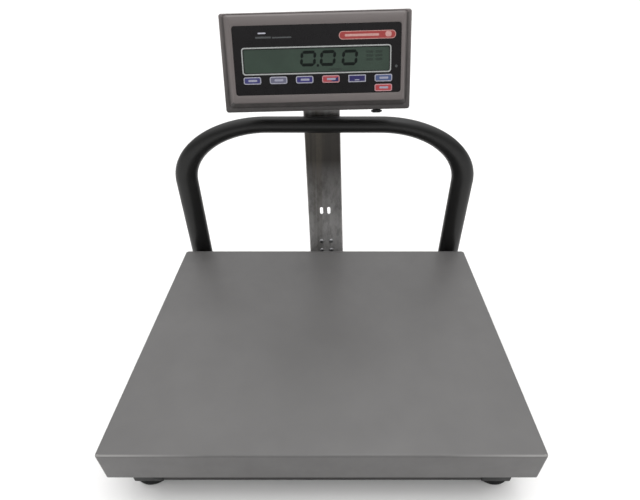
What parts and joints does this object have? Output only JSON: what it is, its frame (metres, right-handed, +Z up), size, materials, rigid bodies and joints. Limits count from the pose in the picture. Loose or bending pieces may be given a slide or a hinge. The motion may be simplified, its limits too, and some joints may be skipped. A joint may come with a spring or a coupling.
{
  "type": "platform shipping scale",
  "caption": "Bench platform scale with a flat pan, an arched tube guard rail behind it, and a column carrying a tilting indicator head with membrane keys.",
  "frame": {"origin": "on the floor, below the centre of the whole object's box", "axes": "+X to the right of a person reading the display, +Y from the display face to the back, +Z up"},
  "size_m": [0.5, 0.448, 0.4858],
  "materials": {
    "pan_paint": "satin grey powder coat with a fine texture",
    "rail_paint": "satin black powder coat",
    "base_paint": "satin dark powder coat",
    "column_steel": "brushed, grain along its length",
    "zinc_steel": "zinc plated",
    "aluminium": "machined",
    "rubber": "moulded, matt",
    "cable_jacket": "smooth jacket",
    "head_plastic": "fine moulded texture, warm grey",
    "overlay_film": "glossy near-black film",
    "display_glass": "grey-green liquid crystal display",
    "board_green": "solder-masked circuit board",
    "battery_case": "moulded battery case",
    "key_blue": "embossed membrane key",
    "key_grey": "embossed membrane key",
    "key_violet": "embossed membrane key",
    "key_two_tone": "embossed membrane key",
    "key_navy": "embossed membrane key",
    "key_steel": "embossed membrane key",
    "key_red": "embossed membrane key"
  },
  "bodies": {
    "base": {"base_rail_left": "base_paint", "base_rail_right": "base_paint", "base_beam_front": "base_paint", "base_beam_rear": "base_paint", "cell_beam": "base_paint", "load_cell": "aluminium", "cell_spacer_lower": "zinc_steel", "cell_spacer_upper": "zinc_steel", "platform_frame": "base_paint", "overload_stop_fl": "zinc_steel", "overload_stop_fr": "zinc_steel", "overload_stop_rl": "zinc_steel", "overload_stop_rr": "zinc_steel", "pan_bumper_fl": "rubber", "pan_bumper_fr": "rubber", "pan_bumper_rl": "rubber", "pan_bumper_rr": "rubber", "guard_rail": "rail_paint", "rail_foot_left": "rail_paint", "rail_foot_right": "rail_paint", "rail_bolt_left": "zinc_steel", "rail_bolt_right": "zinc_steel", "column": "column_steel", "column_bracket": "base_paint", "column_screw_1": "zinc_steel", "column_screw_2": "zinc_steel", "column_screw_3": "zinc_steel", "column_screw_4": "zinc_steel", "cell_cable": "cable_jacket", "tilt_bracket": "column_steel"},
    "weighing_pan": {"pan": "pan_paint"},
    "indicator_head": {"rear_shell": "head_plastic", "front_bezel": "head_plastic", "overlay": "overlay_film", "window_trim": "zinc_steel", "display": "display_glass", "main_board": "board_green", "battery": "battery_case", "cable_gland": "rubber", "charger_jack": "rubber", "pivot_screw": "zinc_steel"},
    "lock_knob": {"tilt_knob": "rubber"},
    "power_rocker": {"power_switch": "rubber"},
    "key_cap_1": {"key_1": "key_blue"},
    "key_cap_2": {"key_2": "key_grey"},
    "key_cap_3": {"key_3": "key_violet"},
    "key_cap_4": {"key_4": "key_two_tone"},
    "key_cap_5": {"key_5": "key_navy"},
    "key_cap_6": {"key_6": "key_steel"},
    "key_cap_7": {"key_7": "key_red"},
    "pad_front_left": {"foot_pad_fl": "rubber"},
    "stud_front_left": {"foot_stud_fl": "zinc_steel"},
    "pad_front_right": {"foot_pad_fr": "rubber"},
    "stud_front_right": {"foot_stud_fr": "zinc_steel"},
    "pad_rear_left": {"foot_pad_rl": "rubber"},
    "stud_rear_left": {"foot_stud_rl": "zinc_steel"},
    "pad_rear_right": {"foot_pad_rr": "rubber"},
    "stud_rear_right": {"foot_stud_rr": "zinc_steel"}
  },
  "joints": [
    {"name": "pan_lift", "type": "slide", "parent": "base", "child": "weighing_pan", "axis": [0, 0, 1], "range_m": [0, 0.1]},
    {"name": "head_tilt", "type": "hinge", "parent": "base", "child": "indicator_head", "pos_m": [-0.0057, 0.18499, 0.4084], "axis": [0.9997, 0, 0.0244], "range_deg": [-25, 25]},
    {"name": "knob_turn", "type": "hinge", "parent": "base", "child": "lock_knob", "pos_m": [0.02529, 0.18499, 0.40916], "axis": [0.9997, 0, 0.0244], "range_deg": [0, 180]},
    {"name": "power_toggle", "type": "hinge", "parent": "indicator_head", "child": "power_rocker", "pos_m": [-0.08767, 0.14225, 0.36501], "axis": [0.9997, 0, 0.0244], "range_deg": [0, 18]},
    {"name": "key_press_1", "type": "slide", "parent": "indicator_head", "child": "key_cap_1", "axis": [0.0084, 0.9397, -0.3419], "range_m": [0, 0.0005], "stiffness_N_per_m": 3000},
    {"name": "key_press_2", "type": "slide", "parent": "indicator_head", "child": "key_cap_2", "axis": [0.0084, 0.9397, -0.3419], "range_m": [0, 0.0005], "stiffness_N_per_m": 3000},
    {"name": "key_press_3", "type": "slide", "parent": "indicator_head", "child": "key_cap_3", "axis": [0.0084, 0.9397, -0.3419], "range_m": [0, 0.0005], "stiffness_N_per_m": 3000},
    {"name": "key_press_4", "type": "slide", "parent": "indicator_head", "child": "key_cap_4", "axis": [0.0084, 0.9397, -0.3419], "range_m": [0, 0.0005], "stiffness_N_per_m": 3000},
    {"name": "key_press_5", "type": "slide", "parent": "indicator_head", "child": "key_cap_5", "axis": [0.0084, 0.9397, -0.3419], "range_m": [0, 0.0005], "stiffness_N_per_m": 3000},
    {"name": "key_press_6", "type": "slide", "parent": "indicator_head", "child": "key_cap_6", "axis": [0.0084, 0.9397, -0.3419], "range_m": [0, 0.0005], "stiffness_N_per_m": 3000},
    {"name": "key_press_7", "type": "slide", "parent": "indicator_head", "child": "key_cap_7", "axis": [0.0084, 0.9397, -0.3419], "range_m": [0, 0.0005], "stiffness_N_per_m": 3000},
    {"name": "foot_extend_front_left", "type": "slide", "parent": "base", "child": "pad_front_left", "axis": [0, 0, -1], "range_m": [0, 0.01]},
    {"name": "stud_turn_front_left", "type": "hinge", "parent": "pad_front_left", "child": "stud_front_left", "pos_m": [-0.218, -0.1825, 0.03], "axis": [0, 0, -1], "range_deg": [0, 2401]},
    {"name": "foot_extend_front_right", "type": "slide", "parent": "base", "child": "pad_front_right", "axis": [0, 0, -1], "range_m": [0, 0.01]},
    {"name": "stud_turn_front_right", "type": "hinge", "parent": "pad_front_right", "child": "stud_front_right", "pos_m": [0.218, -0.1825, 0.03], "axis": [0, 0, -1], "range_deg": [0, 2401]},
    {"name": "foot_extend_rear_left", "type": "slide", "parent": "base", "child": "pad_rear_left", "axis": [0, 0, -1], "range_m": [0, 0.01]},
    {"name": "stud_turn_rear_left", "type": "hinge", "parent": "pad_rear_left", "child": "stud_rear_left", "pos_m": [-0.218, 0.1145, 0.03], "axis": [0, 0, -1], "range_deg": [0, 2401]},
    {"name": "foot_extend_rear_right", "type": "slide", "parent": "base", "child": "pad_rear_right", "axis": [0, 0, -1], "range_m": [0, 0.01]},
    {"name": "stud_turn_rear_right", "type": "hinge", "parent": "pad_rear_right", "child": "stud_rear_right", "pos_m": [0.218, 0.1145, 0.03], "axis": [0, 0, -1], "range_deg": [0, 2401]}
  ],
  "couplings": [
    {"joint": "stud_turn_front_left", "follows": "foot_extend_front_left", "rad_per_m": 4188.8},
    {"joint": "stud_turn_front_right", "follows": "foot_extend_front_right", "rad_per_m": 4188.8},
    {"joint": "stud_turn_rear_left", "follows": "foot_extend_rear_left", "rad_per_m": 4188.8},
    {"joint": "stud_turn_rear_right", "follows": "foot_extend_rear_right", "rad_per_m": 4188.8}
  ]
}
